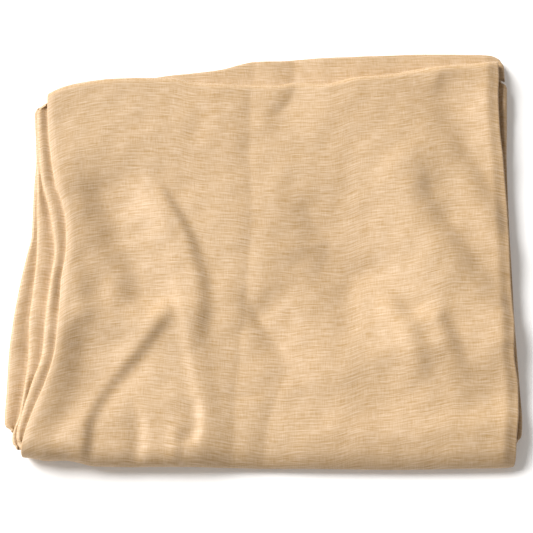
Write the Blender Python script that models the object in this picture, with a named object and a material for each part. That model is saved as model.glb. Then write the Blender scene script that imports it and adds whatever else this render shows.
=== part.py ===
"""A woven hijab scarf, folded to a flat pack and lying on a table.

The cloth is folded in three across its width and then in half three times along its length. That
gives eight plies of three layers each. The last fold is the front edge, so the top ply runs down
round the front and back underneath. The folded rims of the plies between show fanned out on the
left, as one rim on the right, and as a band behind the back rim of the top ply. The plies that
nothing shows of are one solid.

X points right, Y to the back and Z up. The origin is the middle of the underside. The tables are
in millimetres.
"""

import math
from collections import namedtuple

import bmesh
import bpy
import numpy as np

MM = 0.001

# Cloth
PLY = 1.5                # one ply: three layers of the cloth, pressed together
GAP = 0.3                # air between neighbouring pieces
PACK_HEIGHT = 13.0       # eight plies, lying a little loose
ROLL_DEPTH = 8.5         # how far the last fold reaches in front of the flat of the top ply
TURN_DEPTH = 5.0         # the same at the back, where the top ply turns down
TURN_BOTTOM = 7.0        # height at which that turned down rim ends
UNDER_INSET = 2.5        # the underside ply lies this far inside the band at the back

# Sinking of the plies at their side rims
RIGHT_SINK, RIGHT_SINK_RUN = 1.8, 7.0
LEFT_SINK, LEFT_SINK_RUN = 0.5, 3.5
SAG_PER_MM = 0.012       # share of height that a rim loses for each mm it reaches past the top ply

# The top ply droops towards the last fold and round it, most from its middle on to the right
DROOP, DROOP_RUN = 4.2, 15.0
DROOP_FROM, DROOP_FULL = -60.0, 10.0

# How far along a fold its fading is evened out, as a share of the distance from it
FADE_SPREAD = 0.6

# Where the hidden plies begin, measured in from the side rims of the top ply
LEFT_WALL = 6.0
RIGHT_POCKET = 14.0
RIGHT_WALL = 2.2
BACK_STEP = 4.0          # how far the lower hidden plies stop short, to leave the band its place
RIM_BULGE = PLY / 2

# Sides of a grid of points, whose rows run from front to back and whose columns from left to right
FRONT, RIGHT, BACK, LEFT = range(4)

# Counts of cells
MIDDLE_COLUMNS = 24
TOP_ROWS = 26
ROLL_ROWS = 7
TURN_ROWS = 3
UNDER_ROWS = 3

# Side rims of the plies at sections from front to back, as x. The under column is the lowest ply's.
Rims = namedtuple("Rims", "y panel_left upper_left middle_left lower_left under_left panel_right fold_right")
RIMS = (
    Rims(-113, -116.6, -119.0, -121.4, -125.5, -116.4, 121.8, 125.4),
    Rims(-110, -118.2, -120.3, -122.5, -126.3, -117.4, 123.2, 125.9),
    Rims(-98, -116.1, -120.4, -122.9, -127.0, -118.6, 124.0, 126.8),
    Rims(-86, -112.3, -118.0, -119.9, -127.5, -123.4, 125.4, 127.5),
    Rims(-72, -107.0, -114.0, -118.1, -127.1, -124.4, 126.0, 127.1),
    Rims(-56, -103.1, -109.5, -116.8, -126.9, -124.2, 124.4, 126.4),
    Rims(-38, -101.8, -108.6, -117.0, -125.7, -123.0, 125.0, 125.8),
    Rims(-18, -101.1, -107.0, -115.6, -123.1, -120.4, 124.6, 125.7),
    Rims(0, -99.2, -105.4, -114.7, -120.0, -117.4, 124.4, 125.4),
    Rims(12, -99.6, -107.1, -114.9, -117.9, -115.2, 124.4, 125.3),
    Rims(24, -102.1, -109.5, -115.6, -117.9, -115.0, 124.3, 125.3),
    Rims(36, -106.2, -112.9, -115.9, -117.8, -115.0, 123.9, 125.3),
    Rims(52, -109.1, -115.4, -116.9, -117.2, -114.8, 123.2, 125.4),
    Rims(70, -111.2, -116.9, -118.2, -116.8, -114.4, 122.0, 126.2),
    Rims(86, -111.9, -117.4, -119.4, -117.0, -114.2, 121.9, 126.8),
    Rims(98, -111.0, -116.0, -118.0, -116.0, -113.0, 122.6, 127.3),
)

# Front edge of the pack, back rim of the top ply and back rim of the band, from left to right, as y.
Ends = namedtuple("Ends", "x front panel_back band_back")
ENDS = (
    Ends(-118, -108.1, 85.5, 84.0),
    Ends(-112, -108.7, 88.5, 87.0),
    Ends(-104, -110.0, 92.5, 91.0),
    Ends(-96, -109.8, 94.7, 93.2),
    Ends(-80, -112.5, 97.1, 96.4),
    Ends(-62, -112.7, 97.8, 99.0),
    Ends(-48, -112.6, 97.6, 101.3),
    Ends(-36, -112.6, 95.3, 102.7),
    Ends(-22, -112.7, 94.3, 104.8),
    Ends(-11, -112.7, 93.7, 108.0),
    Ends(-4, -112.8, 94.1, 109.4),
    Ends(8, -112.9, 93.8, 109.7),
    Ends(17, -113.0, 95.5, 110.4),
    Ends(32, -113.2, 94.5, 111.6),
    Ends(48, -113.4, 98.2, 112.3),
    Ends(65, -113.6, 99.8, 113.0),
    Ends(82, -113.4, 103.2, 113.6),
    Ends(98, -113.1, 105.4, 113.6),
    Ends(112, -112.9, 106.4, 113.4),
    Ends(119, -112.6, 107.4, 113.0),
    Ends(124, -111.6, 107.8, 110.6),
    Ends(127, -110.6, 107.8, 105.0),
)

# Largest folds of the top ply. Height is a crest's, or a valley's if negative, and west and east are how
# far the slope reaches on either side, all evenly spaced along the line if there are several. The forms are
# how it bends: 1 a sharp crease, 2 soft, 3 a steep flank under a flat crest. Start and end are the shares
# of the line over which it fades in and out. The line runs from back to front, and west is the south
# side of one that runs from left to right. A far reach on one side makes a step.
Fold = namedtuple("Fold", "name height west east west_form east_form start end line")
FOLDS = (
    Fold("thick left side", (1.4, 1.8, 2.0, 2.1, 2.0, 2.0, 3.0, 3.6, 3.4, 2.8, 2.2), (20,),
         (20, 18, 18, 17, 15, 13, 14, 15, 18), 2, 2, 0.25, 0.0,
         ((-106, 70), (-103, 52), (-101, 36), (-98, 15), (-98, -5), (-100, -25), (-102, -42), (-103, -60),
          (-108, -80), (-112, -98), (-115, -118))),
    Fold("long ridge", (2.7,), (40, 38, 30), (8, 8, 9), 2, 3, 0.2, 0.3,
         ((-66, 47), (-61, 40), (-53, 27), (-45, 12), (-41, 2), (-38, -11), (-36, -23), (-36, -35), (-37, -48),
          (-37, -58))),
    Fold("broad valley", (-2.6, -3.2, -4.2, -4.8, -4.6, -4.0, -2.8), (8, 9, 12, 12, 11, 10, 9),
         (10, 13, 18, 27, 33, 34, 30), 2, 2, 0.25, 0.15,
         ((-94, 57), (-87, 41), (-79, 26), (-72, 11), (-67, 0), (-62, -13), (-59, -25), (-57, -38))),
    Fold("slanting ridge", (2.4,), (22, 22, 20, 16, 12), (8,), 2, 3, 0.14, 0.0,
         ((-46, -28), (-55, -39), (-65, -52), (-74, -63), (-82, -74), (-87, -84), (-90, -94), (-90, -102),
          (-90, -111), (-90, -121))),
    Fold("left pocket", (-3.6, -4.4, -4.2, -3.0, -1.6, -0.8), (9, 14, 15, 14, 9, 8), (20, 24, 20, 12, 8), 2, 2,
         0.26, 0.0,
         ((-91, -36), (-89, -47), (-87, -60), (-89, -70), (-93, -80), (-98, -90), (-102, -100), (-106, -114))),
    Fold("wedge", (-3.4,), (8, 9, 9), (24,), 2, 2, 0.3, 0.3,
         ((-9, -18), (-4, -32), (2, -42), (8, -52), (14, -62), (18, -74))),
    Fold("triangle", (-2.7,), (9, 10, 13, 14), (38,), 1.6, 2, 0.35, 0.35,
         ((12, 47), (20, 30), (28, 13), (34, 4), (32, -6), (26, -19), (19, -33))),
    Fold("dip in the middle", (-3.4,), (50,), (12,), 2, 2, 0.3, 0.6,
         ((18, -14), (34, -14), (50, -14), (66, -14), (80, -12), (94, -8))),
    Fold("long dip", (-2.6,), (9,), (20,), 2, 2, 0.25, 0.0,
         ((78, 58), (84, 44), (89, 30), (95, 19), (102, 8), (108, -1), (119, -17), (131, -34))),
    Fold("swell west of it", (2.0,), (16,), (12,), 2, 2, 0.3, 0.3,
         ((72, 63), (76, 40), (81, 19), (93, 1), (105, -19))),
    Fold("outer dip", (-3.2,), (18, 13, 9), (18, 16, 14), 2, 2, 0.2, 0.0,
         ((92, 100), (97, 88), (102, 72), (107, 58), (114, 44), (121, 28), (127, 14))),
    Fold("first right ridge", (2.2, 3.2, 3.6, 3.6), (45, 40), (10,), 2, 3, 0.4, 0.4,
         ((42, -14), (50, -22), (58, -32), (65, -44), (70, -56), (71, -66), (71, -76))),
    Fold("second right ridge", (3.0,), (24,), (9,), 2, 3, 0.3, 0.4,
         ((80, -28), (82.5, -39), (85.5, -48), (89, -59), (91, -72))),
)

# Wall of the hidden plies from top to bottom: share of their height, and how far the wall stands
# out at the right, the front and the back. The rounded steps are the plies' own rims.
CoreWall = namedtuple("CoreWall", "share right front back")
CORE_WALL = (
    CoreWall(0.92, 0.7, 1.6, 1.2),
    CoreWall(0.84, 1.0, 2.6, 1.8),
    CoreWall(0.76, 0.2, 3.5, 2.1),
    CoreWall(0.745, RIGHT_WALL - RIGHT_POCKET, 3.6, 2.1),
    CoreWall(0.525, RIGHT_WALL - RIGHT_POCKET, 4.9, 2.2),
    CoreWall(0.51, RIGHT_WALL - RIGHT_POCKET, 4.9, -BACK_STEP),
    CoreWall(0.315, RIGHT_WALL - RIGHT_POCKET, 4.8, -BACK_STEP),
    CoreWall(0.30, 0.2, 4.7, -BACK_STEP),
    CoreWall(0.20, 1.0, 4.0, -BACK_STEP),
    CoreWall(0.08, 0.7, 2.6, -BACK_STEP),
)

# Folded rims that show at the sides: share of the height where each begins and ends, and the share
# of the depth that it runs, from the start of the flat top to where the top ply turns down.
Strip = namedtuple("Strip", "node rim low high start end end_bulge")
LEFT_STRIPS = (
    Strip("left_fold_upper", "upper_left", 0.69, 1.0, -0.018, 1.0, 1.6),
    Strip("left_fold_middle", "middle_left", 0.355, 0.655, -0.018, 1.0, 1.6),
    Strip("left_fold_lower", "lower_left", 0.0, 0.32, 0.037, 1.0, 1.6),
)
RIGHT_STRIP = Strip("right_fold", "fold_right", 0.35, 0.71, 0.018, 0.965, 1.6)
BAND_HIGH = 0.475        # share of the height that the band behind the top ply reaches

# Colour of each piece, and its roughness
Finish = namedtuple("Finish", "colour roughness")
FINISHES = {
    "outer_ply": Finish((0.76, 0.56, 0.36), 0.72),
    "left_fold_upper": Finish((0.74, 0.53, 0.33), 0.74),
    "left_fold_middle": Finish((0.73, 0.52, 0.32), 0.74),
    "left_fold_lower": Finish((0.72, 0.51, 0.31), 0.74),
    "right_fold": Finish((0.70, 0.49, 0.30), 0.76),
    "back_fold": Finish((0.72, 0.52, 0.33), 0.74),
    "hidden_plies": Finish((0.68, 0.48, 0.30), 0.80),
}


def slopes(knots, values):
    """Slopes of a monotone cubic through the values, so a table's extremes stay the curve's."""
    steps = np.diff(knots)
    secants = np.diff(values) / steps
    inner = np.zeros(len(values))
    same_sign = secants[:-1] * secants[1:] > 0
    weight_a, weight_b = steps[:-1] + 2 * steps[1:], 2 * steps[:-1] + steps[1:]
    with np.errstate(divide="ignore", invalid="ignore"):
        mean = (weight_a + weight_b) / (weight_b / secants[:-1] + weight_a / secants[1:])
    inner[1:-1] = np.where(same_sign, mean, 0.0)
    return inner


def smooth_curve(knots, values):
    """A function that runs smoothly through a table's column and stays level past its ends."""
    knots, values = np.asarray(knots, float), np.asarray(values, float)
    tangents = slopes(knots, values)

    def at(place):
        place = np.clip(np.asarray(place, float), knots[0], knots[-1])
        i = np.clip(np.searchsorted(knots, place) - 1, 0, len(knots) - 2)
        width = knots[i + 1] - knots[i]
        t = (place - knots[i]) / width
        return (
            values[i] * (1 + 2 * t) * (1 - t) ** 2
            + values[i + 1] * t * t * (3 - 2 * t)
            + tangents[i] * width * t * (1 - t) ** 2
            - tangents[i + 1] * width * t * t * (1 - t)
        )

    return at


RIM = {name: smooth_curve([r.y for r in RIMS], [getattr(r, name) for r in RIMS]) for name in Rims._fields[1:]}
END = {name: smooth_curve([e.x for e in ENDS], [getattr(e, name) for e in ENDS]) for name in Ends._fields[1:]}


def ease(share):
    """A step from 0 to 1 with level ends."""
    share = np.clip(share, 0.0, 1.0)
    return share * share * (3 - 2 * share)


def fold_line(line, samples=90):
    """A fold's line as points on a smooth curve through its own points."""
    numbers = np.arange(len(line))
    places = np.linspace(0, len(line) - 1, samples)
    across = smooth_curve(numbers, [p[0] for p in line])(places)
    along = smooth_curve(numbers, [p[1] for p in line])(places)
    return across, along


def spread(values, share):
    """A value at a share of the line, from those that are evenly spaced along it."""
    return np.interp(share, np.linspace(0, 1, len(values)), values)


def relief(x, y):
    """Height that the folds add to the top ply."""
    total = np.zeros(np.broadcast(x, y).shape)
    for fold in FOLDS:
        line_x, line_y = fold_line(fold.line)
        off_x = x[..., None] - line_x
        off_y = y[..., None] - line_y
        apart = off_x**2 + off_y**2
        nearest = apart.argmin(axis=-1)[..., None]
        side_x = np.take_along_axis(off_x, nearest, -1)
        side_y = np.take_along_axis(off_y, nearest, -1)
        run_x, run_y = np.gradient(line_x)[nearest], np.gradient(line_y)[nearest]
        across = ((run_x * side_y - run_y * side_x) / np.hypot(run_x, run_y))[..., 0]
        distance = np.hypot(side_x, side_y)[..., 0]
        # The share of the line is an even one over what lies about as near
        closest = np.take_along_axis(apart, nearest, -1)
        weights = np.exp((closest - apart) / (2 * (FADE_SPREAD**2 * closest + 1.0)))
        share = weights @ np.linspace(0, 1, len(line_x)) / weights.sum(axis=-1)
        # From one side's slope to the other's without a step beyond the line's ends
        east = 0.5 + 0.5 * across / np.maximum(distance, 1e-6)
        west_slope = np.exp(-((distance / spread(fold.west, share)) ** fold.west_form))
        east_slope = np.exp(-((distance / spread(fold.east, share)) ** fold.east_form))
        height = spread(fold.height, share)
        if fold.start:
            height = height * ease(share / fold.start)
        if fold.end:
            height = height * ease((1 - share) / fold.end)
        total += height * (west_slope + east * (east_slope - west_slope))
    return total


def station(depth, x):
    """The y at a share of the depth of the flat top, which begins behind the front roll."""
    start = END["front"](x) + ROLL_DEPTH
    end = END["panel_back"](x) - TURN_DEPTH
    return start + depth * (end - start)


def plan_point(depth, x_at):
    """The plan position at a share of the depth on a line that runs from front to back."""
    y = np.zeros(np.shape(depth))
    for _ in range(8):
        x = x_at(y)
        y = station(depth, x)
    return x, y


def droop(x, from_edge):
    """How far the top ply hangs down at a distance behind its front edge."""
    most = DROOP * ease((x - DROOP_FROM) / (DROOP_FULL - DROOP_FROM))
    return most * np.clip(1 - from_edge / (ROLL_DEPTH + DROOP_RUN), 0, 1) ** 2


def top_height(x, y):
    """Height of the upper face of the top ply."""
    y = np.clip(y, END["front"](x) + ROLL_DEPTH, END["panel_back"](x) - TURN_DEPTH)
    right = ease((x - RIM["panel_right"](y)) / RIGHT_SINK_RUN + 1) * RIGHT_SINK
    left = ease((RIM["panel_left"](y) - x) / LEFT_SINK_RUN + 1) * LEFT_SINK
    return PACK_HEIGHT + relief(x, y) - right - left - droop(x, y - END["front"](x))


def hidden_space(x, y):
    """Lowest and highest z that the inner faces of the outer ply leave for the plies between."""
    left, right = RIM["panel_left"](y), RIM["panel_right"](y)
    roof = top_height(np.clip(x, left, right), y) - PLY - GAP
    floor = PLY + GAP
    middle, half = (roof + floor) / 2, (roof - floor) / 2
    into_roll = (END["front"](x) + ROLL_DEPTH - y) / (ROLL_DEPTH - PLY - GAP)
    shrink = np.sqrt(1 - np.clip(into_roll, 0, 0.9) ** 2)
    reach_past = np.maximum(left - x, 0) + np.maximum(x - right, 0)
    low = middle - half * shrink
    return low, low + 2 * half * shrink * (1 - SAG_PER_MM * reach_past)


def layer_height(x, y, share):
    """The z at a share of the space between the inner faces of the outer ply."""
    low, high = hidden_space(x, y)
    return low + share * (high - low)


def panel_columns():
    """Lines from front to back over the top ply, each a function of y, left to right."""
    def from_left(inset):
        return lambda y: RIM["panel_left"](y) + inset

    def from_right(inset):
        return lambda y: RIM["panel_right"](y) - inset

    def between(share):
        return lambda y: (1 - share) * from_left(LEFT_WALL)(y) + share * from_right(RIGHT_POCKET)(y)

    columns = [from_left(RIM_BULGE), from_left(LEFT_WALL / 2)]
    columns += [between(i / MIDDLE_COLUMNS) for i in range(MIDDLE_COLUMNS + 1)]
    columns += [from_right(i) for i in (9.0, 5.0, RIGHT_WALL, RIM_BULGE)]
    return columns


def strip_depths(strip):
    """Shares of the depth for a strip's sections: its start, then those of the top ply."""
    shared = np.linspace(0.0, 1.0, TOP_ROWS + 1)
    spacing = 1.0 / TOP_ROWS
    return np.append(strip.start, shared[(shared > strip.start + 0.3 * spacing) & (shared <= strip.end)])


def grid_of(depths, columns):
    """Plan positions as two arrays, a row for each share of the depth and a column for each line."""
    x = np.zeros((len(depths), len(columns)))
    y = np.zeros_like(x)
    for i, column in enumerate(columns):
        x[:, i], y[:, i] = plan_point(np.asarray(depths, float), column)
    return x, y


def points(x, y, z):
    """Three arrays of coordinates as one array of points."""
    return np.stack(np.broadcast_arrays(x, y, z), axis=-1).astype(float)


def border(grid):
    """The outline of a grid, once round: first row, last column, last row, first column."""
    return np.concatenate([grid[0, :-1], grid[:-1, -1], grid[-1, :0:-1], grid[:0:-1, 0]])


def border_sides(rows, columns):
    """Which sides each border point is on, as a column of ones and zeros for each side."""
    sides = np.zeros((rows, columns, 4))
    sides[0, :, FRONT] = 1
    sides[:, -1, RIGHT] = 1
    sides[-1, :, BACK] = 1
    sides[:, 0, LEFT] = 1
    return border(sides)


def outward(rows, columns, front=0.0, right=0.0, back=0.0, left=0.0, still=None):
    """Level vectors that push a grid's border out by the given amounts, for rows from front to back.
    Corners between two sides that bulge are rounded. The side numbered still isn't moved."""
    sides = border_sides(rows, columns)
    push = np.zeros((len(sides), 3))
    push[:, 0] = sides[:, RIGHT] * right - sides[:, LEFT] * left
    push[:, 1] = sides[:, BACK] * back - sides[:, FRONT] * front
    amounts = sides * (front, right, back, left)
    rounded = (amounts > 0).sum(axis=1) == 2
    push[rounded] *= math.sqrt(0.5)
    if still is not None:
        push[sides[:, still] > 0] = 0
    return push


def round_walls(upper, lower, push, steps):
    """Loops down a rounded side wall between the borders of two grids."""
    top, bottom = border(upper), border(lower)
    walls = []
    for step in range(1, steps + 1):
        angle = math.pi * step / (steps + 1)
        share = (1 - math.cos(angle)) / 2
        walls.append(top + (bottom - top) * share + push * math.sin(angle))
    return walls


def triangles_between(first, second):
    """Triangles of the strip between two equally long rows of point numbers."""
    a, b, c, d = first[:-1], first[1:], second[1:], second[:-1]
    return np.concatenate([np.stack([a, b, c], -1), np.stack([a, c, d], -1)])


def closed_solid(node, upper, lower, walls):
    """One closed body between two grids of points, with its side wall led through the given loops."""
    rows, columns = upper.shape[:2]
    top = np.arange(rows * columns).reshape(rows, columns)
    loops = [border(top)]
    parts = [upper.reshape(-1, 3)]
    count = rows * columns
    for wall in walls:
        loops.append(np.arange(count, count + len(wall)))
        parts.append(wall)
        count += len(wall)
    bottom = top + count
    loops.append(border(bottom))
    parts.append(lower.reshape(-1, 3))
    faces = [triangles_between(top[i], top[i + 1]) for i in range(rows - 1)]
    faces += [triangles_between(bottom[i], bottom[i + 1])[:, ::-1] for i in range(rows - 1)]
    for above, below in zip(loops, loops[1:]):
        above, below = np.append(above, above[0]), np.append(below, below[0])
        faces.append(triangles_between(above, below)[:, ::-1])

    mesh = bpy.data.meshes.new(node)
    mesh.from_pydata((np.concatenate(parts) * MM).tolist(), [], np.concatenate(faces).tolist())
    solid = bmesh.new()
    solid.from_mesh(mesh)
    bmesh.ops.recalc_face_normals(solid, faces=solid.faces)
    solid.to_mesh(mesh)
    solid.free()
    mesh.shade_smooth()
    mesh.set_sharp_from_angle(angle=math.radians(50))
    mesh.materials.append(cloth_material(node))
    return bpy.data.objects.new(node, mesh)


def cloth_material(node):
    """A plain woven cloth for one piece."""
    finish = FINISHES[node]
    material = bpy.data.materials.new(node)
    material.use_nodes = True
    shader = material.node_tree.nodes["Principled BSDF"]
    shader.inputs["Base Color"].default_value = (*finish.colour, 1.0)
    shader.inputs["Roughness"].default_value = finish.roughness
    shader.inputs["Metallic"].default_value = 0.0
    material.diffuse_color = (*finish.colour, 1.0)
    return material


def turned_back(x, rim_y):
    """The top ply's back rim: rows that rise from the end of the turned down cloth to the top."""
    top = top_height(x, rim_y - TURN_DEPTH)
    outer, inner = [], []
    for step in range(TURN_ROWS):
        angle = math.pi / 2 * step / TURN_ROWS
        for rows, thickness in ((outer, 0.0), (inner, PLY)):
            y = rim_y - TURN_DEPTH + (TURN_DEPTH - thickness) * math.cos(angle)
            z = TURN_BOTTOM + (top - thickness - TURN_BOTTOM) * math.sin(angle)
            rows.append(points(x, y, z))
    return outer, inner


def front_roll(columns):
    """The last fold: rows from the front of the flat top round to the underside."""
    outer, inner = [], []
    under_left, under_right = RIM["under_left"], RIM["fold_right"]
    start_x, start_y = grid_of([0.0], columns)
    x, front = start_x[0], start_y[0] - ROLL_DEPTH
    full = top_height(x, start_y[0]) + droop(x, ROLL_DEPTH)
    shares = (x - x[0]) / (x[-1] - x[0])
    for step in range(1, ROLL_ROWS + 1):
        angle = math.pi * step / ROLL_ROWS
        lower = ease(step / ROLL_ROWS)
        hang = (1 + math.cos(angle)) / 2
        for rows, thickness in ((outer, 0.0), (inner, PLY)):
            behind = ROLL_DEPTH - (ROLL_DEPTH - thickness) * math.sin(angle)
            z = (1 - hang) * thickness + hang * (full - thickness - droop(x, behind))
            edge_y = front + ROLL_DEPTH - ROLL_DEPTH * math.sin(angle)
            left = (1 - lower) * RIM["panel_left"](edge_y[0]) + lower * under_left(edge_y[0])
            right = (1 - lower) * RIM["panel_right"](edge_y[-1]) + lower * (under_right(edge_y[-1]) - UNDER_INSET)
            across = left + RIM_BULGE + shares * (right - left - 2 * RIM_BULGE)
            rows.append(points(across, front + behind, z))
    return outer, inner


def underside(columns):
    """The lowest ply: level rows from behind the front roll to the back."""
    start_x, start_y = grid_of([0.0], columns)
    shares = (start_x[0] - start_x[0][0]) / (start_x[0][-1] - start_x[0][0])
    back = np.maximum(END["band_back"](start_x[0]), END["panel_back"](start_x[0])) - UNDER_INSET
    outer, inner = [], []
    for step in range(1, 2 * UNDER_ROWS + 1):
        y = start_y[0] + (back - start_y[0]) * step / (2 * UNDER_ROWS)
        left = RIM["under_left"](y) + RIM_BULGE
        right = RIM["fold_right"](y) - UNDER_INSET - RIM_BULGE
        x = left + shares * (right - left)
        outer.append(points(x, y, 0.0))
        inner.append(points(x, y, PLY))
    return outer, inner


def outer_ply():
    """The ply that shows: down at the back rim, over the top, round the front and underneath."""
    columns = panel_columns()
    depths = np.linspace(1.0, 0.0, TOP_ROWS + 1)
    x, y = grid_of(depths, columns)
    z = top_height(x, y)
    back_outer, back_inner = turned_back(x[0], y[0] + TURN_DEPTH)
    roll_outer, roll_inner = front_roll(columns)
    under_outer, under_inner = underside(columns)
    outer = np.stack(back_outer + list(points(x, y, z)) + roll_outer + under_outer)[::-1]
    inner = np.stack(back_inner + list(points(x, y, z - PLY)) + roll_inner + under_inner)[::-1]
    push = outward(*outer.shape[:2], right=RIM_BULGE, left=RIM_BULGE)
    return closed_solid("outer_ply", outer, inner, round_walls(outer, inner, push, steps=1))


def left_fold(strip):
    """One folded rim of the plies that fan out at the left."""
    thickness = (strip.high - strip.low) * (PACK_HEIGHT - 2 * PLY)
    bulge = thickness * 0.4
    rim = RIM[strip.rim]

    def outside(share):
        return lambda y: (1 - share) * RIM["panel_left"](y) + share * (rim(y) + bulge)

    columns = [outside(1.0), outside(0.55), lambda y: RIM["panel_left"](y) + RIM_BULGE]
    columns += [lambda y: RIM["panel_left"](y) + LEFT_WALL / 2]
    columns += [lambda y: RIM["panel_left"](y) + LEFT_WALL - GAP]
    x, y = grid_of(strip_depths(strip), columns)
    upper = points(x, y, layer_height(x, y, strip.high))
    lower = points(x, y, layer_height(x, y, strip.low))
    push = outward(*x.shape, front=strip.end_bulge, back=strip.end_bulge, left=bulge, still=RIGHT)
    return closed_solid(strip.node, upper, lower, round_walls(upper, lower, push, steps=3))


def right_fold(strip):
    """The folded rim of a ply that shows past the top ply at the right."""
    thickness = (strip.high - strip.low) * (PACK_HEIGHT - 2 * PLY)
    bulge = thickness * 0.4
    rim = RIM[strip.rim]
    columns = [lambda y: RIM["panel_right"](y) - RIGHT_POCKET + GAP]
    columns += [lambda y: RIM["panel_right"](y) - RIGHT_WALL]
    columns += [lambda y: np.maximum(rim(y) - bulge, RIM["panel_right"](y) - RIGHT_WALL + 1)]
    x, y = grid_of(strip_depths(strip), columns)
    over_pocket = np.maximum(x, RIM["panel_right"](y) - RIGHT_WALL)
    upper = points(x, y, layer_height(over_pocket, y, strip.high))
    lower = points(x, y, layer_height(over_pocket, y, strip.low))
    push = outward(*x.shape, front=strip.end_bulge, back=strip.end_bulge, right=bulge, still=LEFT)
    return closed_solid(strip.node, upper, lower, round_walls(upper, lower, push, steps=3))


def core_columns():
    """The lines of the top ply that lie over the hidden plies."""
    return panel_columns()[2:-1]


def hidden_plies():
    """The plies that nothing shows of, as one solid with rounded rims where a side comes near."""
    columns = core_columns()
    x, y = grid_of(np.linspace(0.0, 1.0, TOP_ROWS + 1), columns)
    low, high = hidden_space(x, y)
    upper, lower = points(x, y, high), points(x, y, low)
    walls = []
    for row in CORE_WALL:
        push = outward(*x.shape, front=row.front, right=row.right, back=row.back)
        rim = border(upper) * row.share + border(lower) * (1 - row.share)
        walls.append(rim + push)
    lower[-1, :, 1] -= BACK_STEP
    return closed_solid("hidden_plies", upper, lower, walls)


def back_fold():
    """The band behind the top ply: the back rim of the lower plies, which lie further back."""
    columns = core_columns()
    x, y = grid_of([1.0], columns)
    extra = np.array([124.0, 125.4])
    x = np.append(x[0], extra)
    wall = np.append(y[0], station(1.0, extra)) - BACK_STEP + GAP
    x[0] += GAP
    low, high = hidden_space(np.minimum(x, RIM["panel_right"](wall)), wall + BACK_STEP)
    top = low + BAND_HIGH * (high - low)
    bulge = 0.4 * (top - low)
    rim = END["band_back"](x) - bulge
    shares = np.array([0.0, 0.45, 0.8, 1.0])[:, None]
    plan_y = wall + shares * (rim - wall)
    plan_x = np.broadcast_to(x, plan_y.shape)
    upper = points(plan_x, plan_y, top - 0.5 * shares**2)
    lower = points(plan_x, plan_y, low)
    push = outward(*plan_x.shape, back=float(bulge.mean()), right=1.4)
    return closed_solid("back_fold", upper, lower, round_walls(upper, lower, push, steps=3))


def clear_scene():
    for old in list(bpy.data.objects):
        bpy.data.objects.remove(old, do_unlink=True)


def main():
    clear_scene()
    collection = bpy.data.collections.new("folded_hijab")
    bpy.context.scene.collection.children.link(collection)
    pieces = [outer_ply(), hidden_plies(), back_fold(), right_fold(RIGHT_STRIP)]
    pieces += [left_fold(strip) for strip in LEFT_STRIPS]
    for piece in pieces:
        collection.objects.link(piece)


main()
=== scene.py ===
"""Looks of a woven hijab scarf, folded to a flat pack and lying on a table.

Each stretch of cloth that shows is a thin sheet on its solid's form: the top ply with its folds, the
rims that fan out on the left, the rim at the right, the band at the back and the layered rims of the
plies between. X points right, Y to the back and Z up. The tables are in millimetres.
"""

import math
from collections import namedtuple

import bpy
import numpy as np
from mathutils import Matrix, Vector


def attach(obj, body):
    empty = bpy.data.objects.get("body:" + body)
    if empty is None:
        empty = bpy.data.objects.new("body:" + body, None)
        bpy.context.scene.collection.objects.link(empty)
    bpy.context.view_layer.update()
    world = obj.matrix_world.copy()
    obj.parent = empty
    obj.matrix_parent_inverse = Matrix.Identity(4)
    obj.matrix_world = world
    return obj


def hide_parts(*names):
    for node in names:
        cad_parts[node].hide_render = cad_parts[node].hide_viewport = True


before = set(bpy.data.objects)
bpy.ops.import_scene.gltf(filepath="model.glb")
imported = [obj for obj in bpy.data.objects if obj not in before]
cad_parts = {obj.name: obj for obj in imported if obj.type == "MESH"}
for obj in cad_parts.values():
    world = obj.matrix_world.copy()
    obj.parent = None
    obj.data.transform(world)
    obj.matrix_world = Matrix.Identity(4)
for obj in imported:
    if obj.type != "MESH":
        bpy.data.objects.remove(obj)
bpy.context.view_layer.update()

MM = 0.001

# Cloth, as in the solids
PLY = 1.5                # one ply: three layers of the cloth, pressed together
GAP = 0.3                # air between neighbouring pieces
PACK_HEIGHT = 13.0       # eight plies, lying a little loose
ROLL_DEPTH = 8.5         # how far the last fold reaches in front of the flat of the top ply
TURN_DEPTH = 5.0         # the same at the back, where the top ply turns down
TURN_BOTTOM = 7.0        # height at which that turned down rim ends
TURN_CAP = 0.6           # how far its rounded edge reaches
UNDER_INSET = 2.5        # the underside ply lies this far inside the band at the back
RIM_BULGE = PLY / 2      # how far the rounded side rims of the outer ply reach

# The top ply sinks towards its side rims: by how much, and over what width
RIGHT_SINK, RIGHT_SINK_RUN = 1.8, 7.0
LEFT_SINK, LEFT_SINK_RUN = 0.5, 3.5
SAG_PER_MM = 0.012       # share of their height that the plies between lose for each mm past the rims

# Where the plies between end, inside the rims of the top ply
LEFT_WALL = 6.0
RIGHT_WALL = 2.2
RIGHT_POCKET = 14.0      # the same behind the folded rim at the right
BACK_STEP = 4.0          # the same behind the band at the back

# The top ply droops towards the last fold and round it, most from its middle on to the right
DROOP, DROOP_RUN = 4.2, 15.0
DROOP_FROM, DROOP_FULL = -60.0, 10.0

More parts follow.
